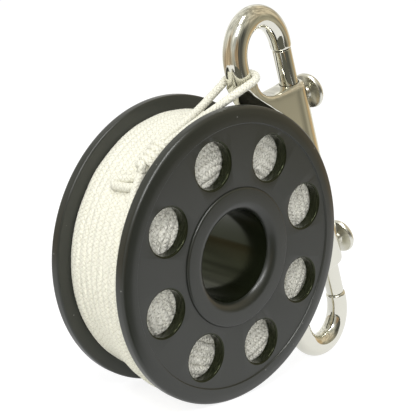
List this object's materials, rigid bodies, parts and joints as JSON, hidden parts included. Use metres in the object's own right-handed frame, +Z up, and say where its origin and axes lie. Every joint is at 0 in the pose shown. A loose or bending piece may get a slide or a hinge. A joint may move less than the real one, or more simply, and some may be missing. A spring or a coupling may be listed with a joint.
{
  "type": "finger spool",
  "caption": "Flanged finger spool of braided line with a rounded finger bore, holes through both flanges and a double-ended bolt snap tied to the end of the line.",
  "frame": {"origin": "on the floor, under the middle of the bounding box", "axes": "+Z up, Y along the spool's axis with the front flange at -Y, +X towards the side that the snap hangs on"},
  "size_m": [0.1008, 0.031, 0.1101],
  "materials": {
    "spool_plastic": "satin moulded, dark olive grey",
    "line": "white braided line",
    "polished_steel": "polished stainless steel",
    "spring_steel": "drawn wire"
  },
  "bodies": {
    "spool": {"hub_sleeve": "spool_plastic", "front_flange": "spool_plastic", "rear_flange": "spool_plastic", "line_core": "line", "line_wound": "line", "line_loop": "line", "loop_knot": "line"},
    "snap": {"snap_body": "polished_steel", "upper_spring": "spring_steel", "lower_spring": "spring_steel"},
    "upper_gate": {"upper_bolt": "polished_steel", "upper_knob": "polished_steel"},
    "lower_gate": {"lower_bolt": "polished_steel", "lower_knob": "polished_steel"}
  },
  "joints": [
    {"name": "snap_swing", "type": "hinge", "parent": "spool", "child": "snap", "pos_m": [-0.00095, -0.006, 0.08927], "axis": [0, -1, 0], "range_deg": [0, 90], "deforming": ["line_loop"]},
    {"name": "upper_bolt_slide", "type": "slide", "parent": "snap", "child": "upper_gate", "axis": [0.3584, 0, -0.9336], "range_m": [0, 0.0095], "stiffness_N_per_m": 300, "springref_m": -0.005, "deforming": ["upper_spring"]},
    {"name": "lower_bolt_slide", "type": "slide", "parent": "snap", "child": "lower_gate", "axis": [-0.3584, 0, 0.9336], "range_m": [0, 0.0095], "stiffness_N_per_m": 300, "springref_m": -0.005, "deforming": ["lower_spring"]}
  ]
}
